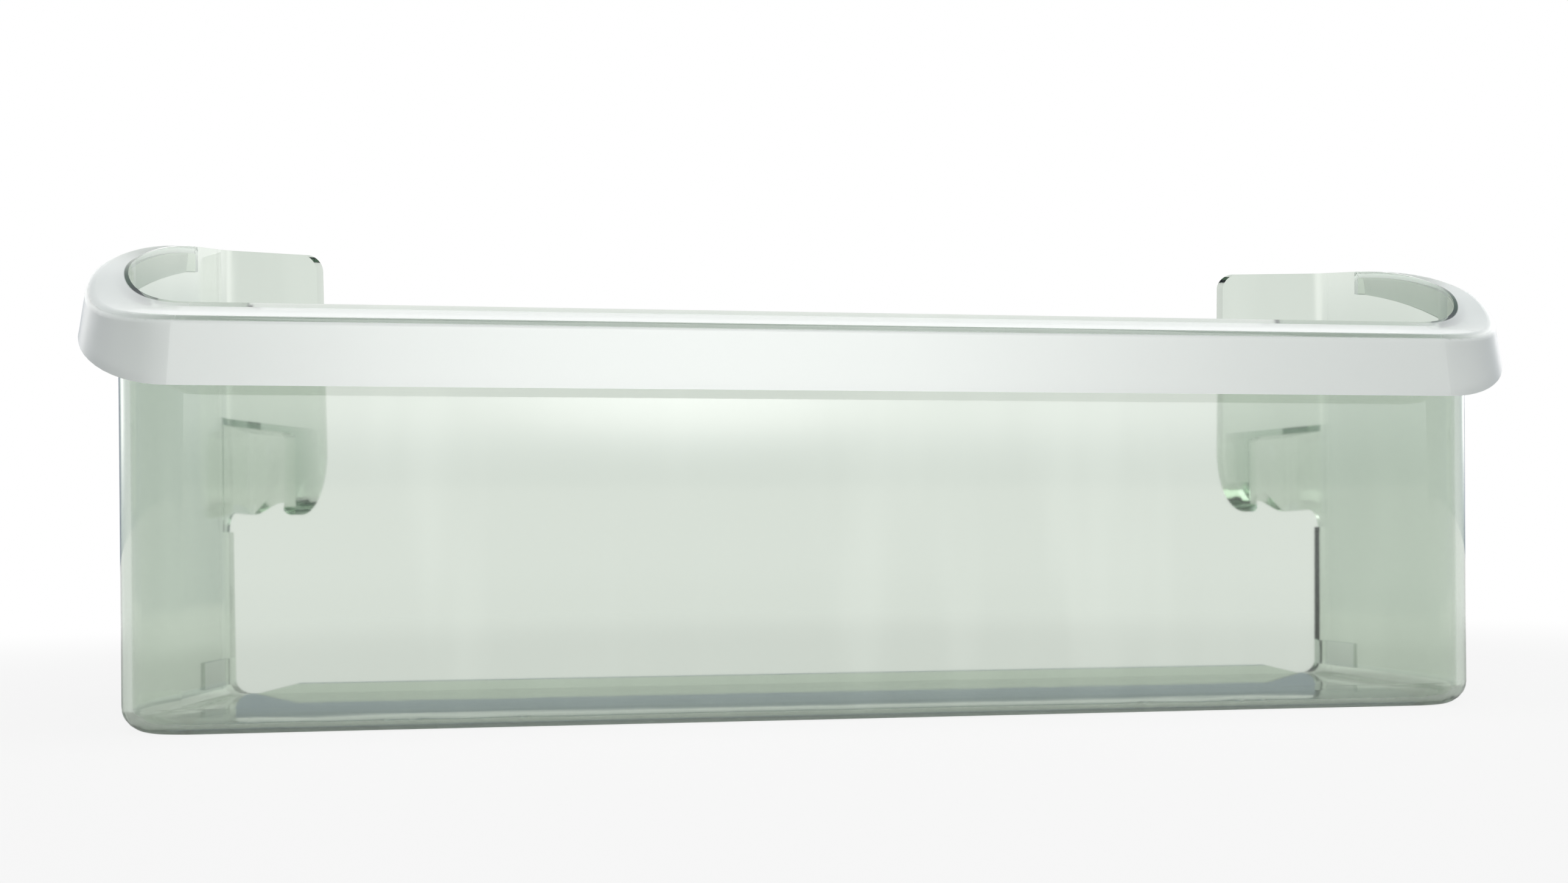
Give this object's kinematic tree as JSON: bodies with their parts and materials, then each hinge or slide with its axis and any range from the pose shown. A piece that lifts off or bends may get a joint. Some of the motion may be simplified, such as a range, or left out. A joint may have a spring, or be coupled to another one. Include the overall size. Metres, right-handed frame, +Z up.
{
  "type": "fridge door shelf",
  "caption": "Clear one-piece fridge door shelf with a swept rim band, an open back and hook pockets in its rear wings.",
  "frame": {"origin": "under the middle of the shelf's box, on the plane of the floor's underside", "axes": "+X across the shelf, along its length; +Y back towards the fridge door; +Z up"},
  "size_m": [0.3976, 0.1332, 0.1509],
  "materials": {
    "clear_plastic": "clear moulded plastic with a faint green tint, satin on the rim band"
  },
  "bodies": {
    "root": {"door_shelf": "clear_plastic"}
  },
  "joints": []
}
